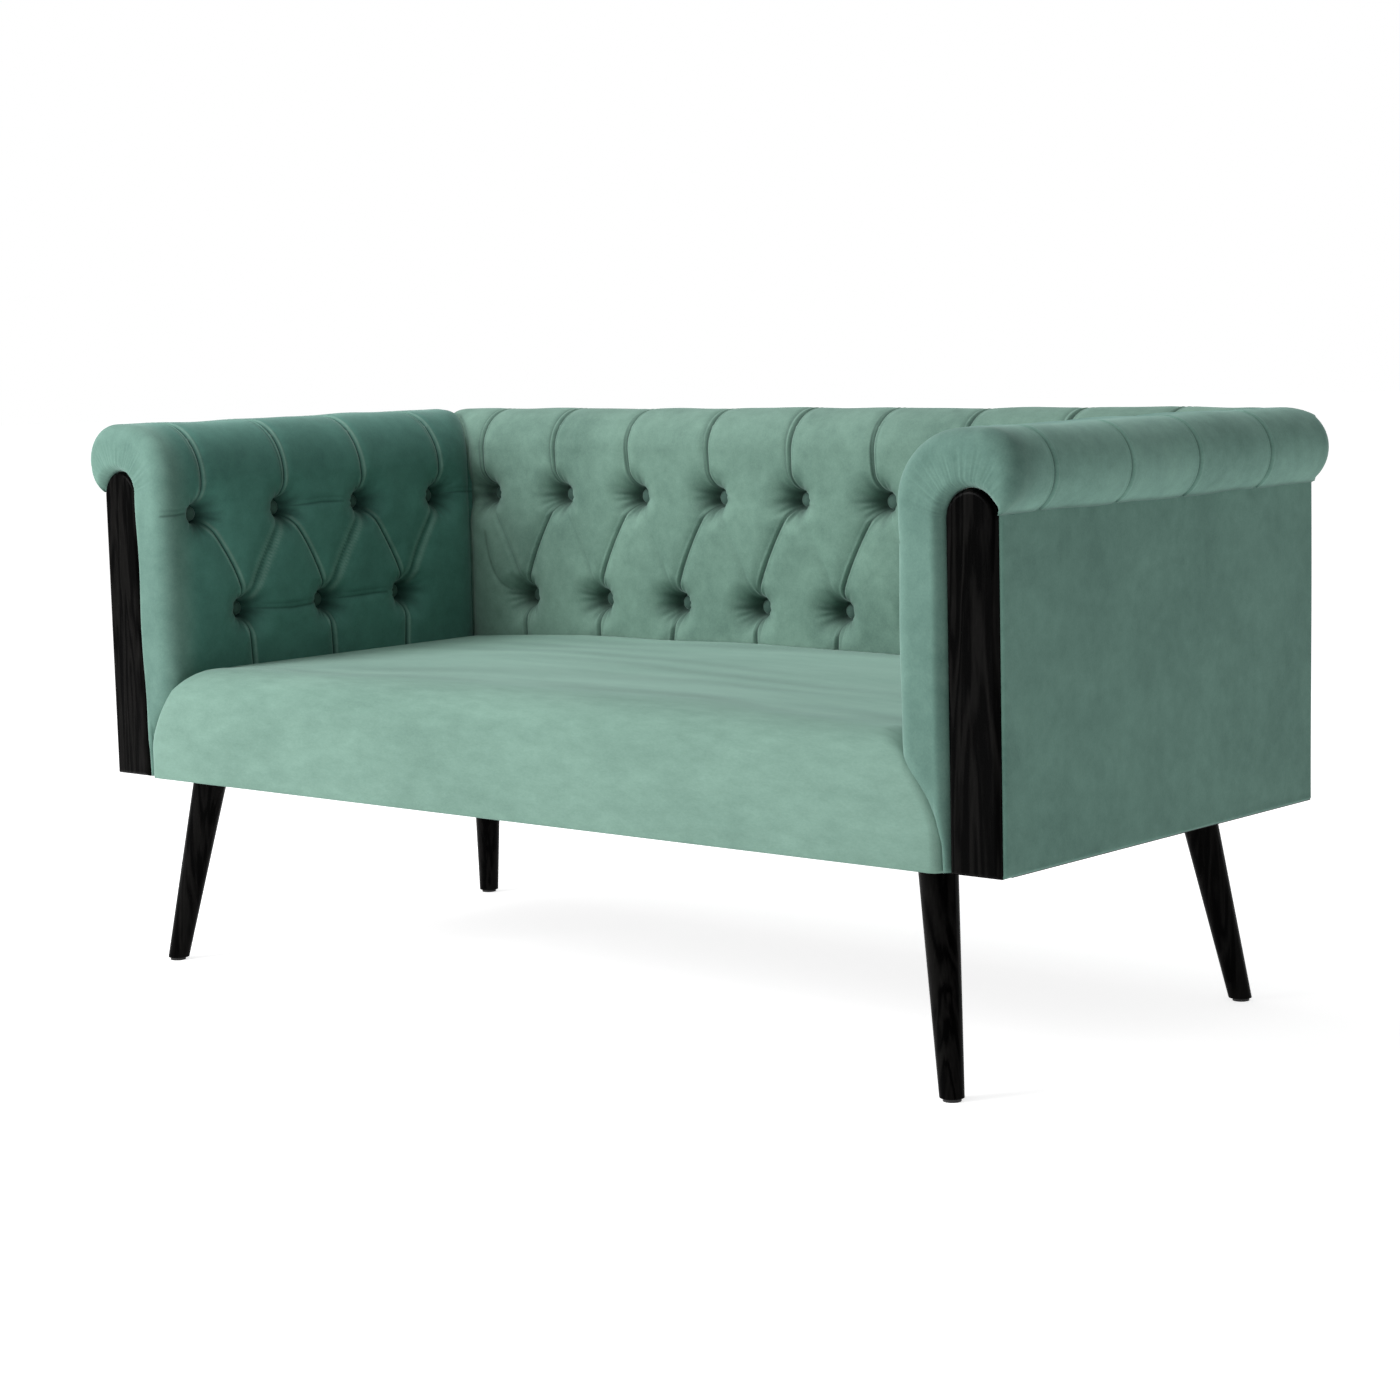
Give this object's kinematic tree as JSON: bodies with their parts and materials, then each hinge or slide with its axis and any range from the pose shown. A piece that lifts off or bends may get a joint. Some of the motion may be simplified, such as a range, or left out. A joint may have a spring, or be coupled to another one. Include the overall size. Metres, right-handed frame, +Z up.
{
  "type": "chesterfield settee",
  "caption": "Compact deep-buttoned chesterfield settee in green velvet: level rolled arms and back, tight seat, black wood arm facings and splayed tapered legs, for sitting on side by side.",
  "frame": {"origin": "on the floor, at the middle of the overall outline", "axes": "+X along the seat to the sitter's left, +Y to the rear, +Z up"},
  "size_m": [1.556, 0.692, 0.74],
  "materials": {
    "velvet": "short-pile velvet, sage green",
    "black_wood": "black stain, satin",
    "frame_timber": "sawn",
    "plywood": "sanded",
    "fibreboard": "raw",
    "foam": "open-cell foam",
    "webbing": "woven elastic",
    "black_cloth": "spun-bonded cloth",
    "twine": "waxed twine",
    "steel": "zinc plated",
    "glide_plastic": "matt"
  },
  "bodies": {
    "root": {"left_arm_tufted_cover": "velvet", "right_arm_tufted_cover": "velvet", "back_tufted_cover": "velvet", "left_arm_front_border": "velvet", "right_arm_front_border": "velvet", "seat_cover": "velvet", "left_outer_cover": "velvet", "right_outer_cover": "velvet", "rear_outer_cover": "velvet", "left_arm_buttons": "velvet", "right_arm_buttons": "velvet", "back_buttons": "velvet", "left_arm_facing": "black_wood", "right_arm_facing": "black_wood", "left_front_leg": "black_wood", "right_front_leg": "black_wood", "left_rear_leg": "black_wood", "right_rear_leg": "black_wood", "left_arm_front_post": "frame_timber", "right_arm_front_post": "frame_timber", "left_arm_rear_post": "frame_timber", "right_arm_rear_post": "frame_timber", "left_arm_top_rail": "frame_timber", "right_arm_top_rail": "frame_timber", "left_arm_tuck_rail": "frame_timber", "right_arm_tuck_rail": "frame_timber", "left_arm_bottom_rail": "frame_timber", "right_arm_bottom_rail": "frame_timber", "back_top_rail": "frame_timber", "back_tuck_rail": "frame_timber", "back_uprights": "frame_timber", "seat_front_rail": "frame_timber", "seat_rear_rail": "frame_timber", "left_seat_side_rail": "frame_timber", "right_seat_side_rail": "frame_timber", "seat_centre_bearer": "frame_timber", "corner_blocks": "frame_timber", "left_arm_tufting_board": "plywood", "right_arm_tufting_board": "plywood", "back_tufting_board": "plywood", "left_outer_board": "fibreboard", "right_outer_board": "fibreboard", "rear_outer_board": "fibreboard", "left_arm_foam": "foam", "right_arm_foam": "foam", "back_foam": "foam", "seat_foam": "foam", "seat_webbing": "webbing", "seat_cross_webbing": "webbing", "deck_cloth": "black_cloth", "dust_cover": "black_cloth", "left_arm_button_ties": "twine", "right_arm_button_ties": "twine", "back_button_ties": "twine", "facing_screws": "steel", "arm_bolts": "steel", "leg_hanger_bolts": "steel", "leg_inserts": "steel", "leg_glides": "glide_plastic"}
  },
  "joints": []
}
